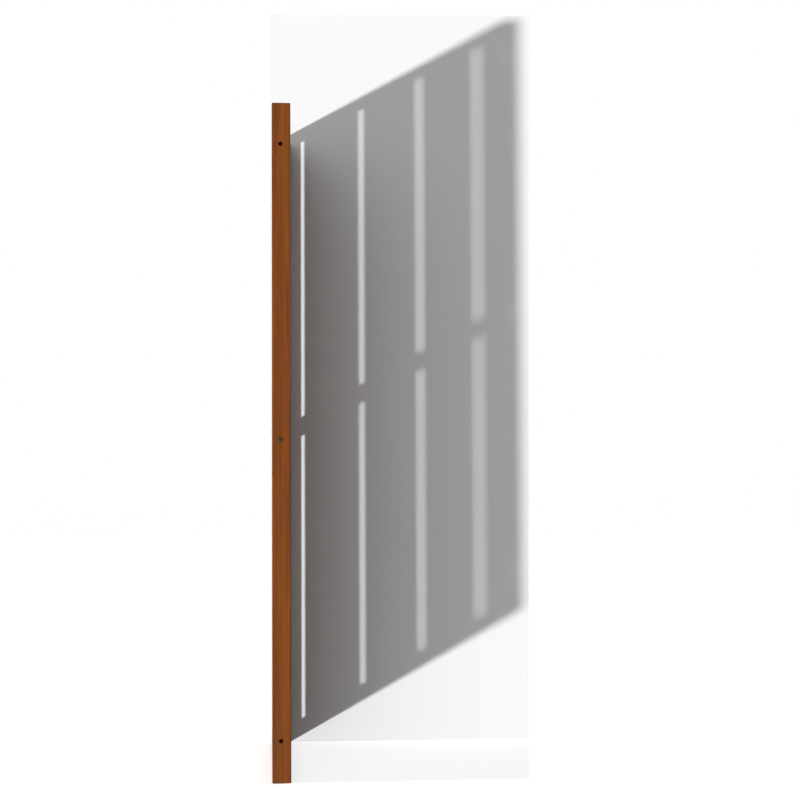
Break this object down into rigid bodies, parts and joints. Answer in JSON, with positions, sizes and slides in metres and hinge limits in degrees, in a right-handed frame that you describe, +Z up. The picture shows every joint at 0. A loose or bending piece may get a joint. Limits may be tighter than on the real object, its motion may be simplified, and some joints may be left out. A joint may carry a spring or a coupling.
{
  "type": "garden privacy screen",
  "caption": "Tall framed screen panel of flat upright slats with narrow light gaps, a mid rail behind them and post holes in the stiles.",
  "frame": {"origin": "middle of the panel's footprint, on the plane of its bottom edge", "axes": "+Z up along the stiles, +X across the width, +Y from the front face to the open back"},
  "size_m": [0.6, 0.05, 1.8],
  "materials": {
    "frame": "satin brown wood-grain coating on folded sheet",
    "slats": "satin brown wood-grain coating on flat sheet",
    "corner_plates": "satin brown coating",
    "rivets": "satin brown coating"
  },
  "bodies": {
    "root": {"left_stile": "frame", "right_stile": "frame", "top_rail": "frame", "bottom_rail": "frame", "mid_rail": "frame", "slat_1": "slats", "slat_2": "slats", "slat_3": "slats", "slat_4": "slats", "slat_5": "slats", "corner_plate_bottom_left": "corner_plates", "corner_plate_bottom_right": "corner_plates", "corner_plate_top_left": "corner_plates", "corner_plate_top_right": "corner_plates", "corner_rivets_bottom_left": "rivets", "corner_rivets_bottom_right": "rivets", "corner_rivets_top_left": "rivets", "corner_rivets_top_right": "rivets", "bottom_rail_rivets": "rivets", "top_rail_rivets": "rivets", "mid_rail_rivets": "rivets", "left_stile_rivets": "rivets", "right_stile_rivets": "rivets"}
  },
  "joints": []
}
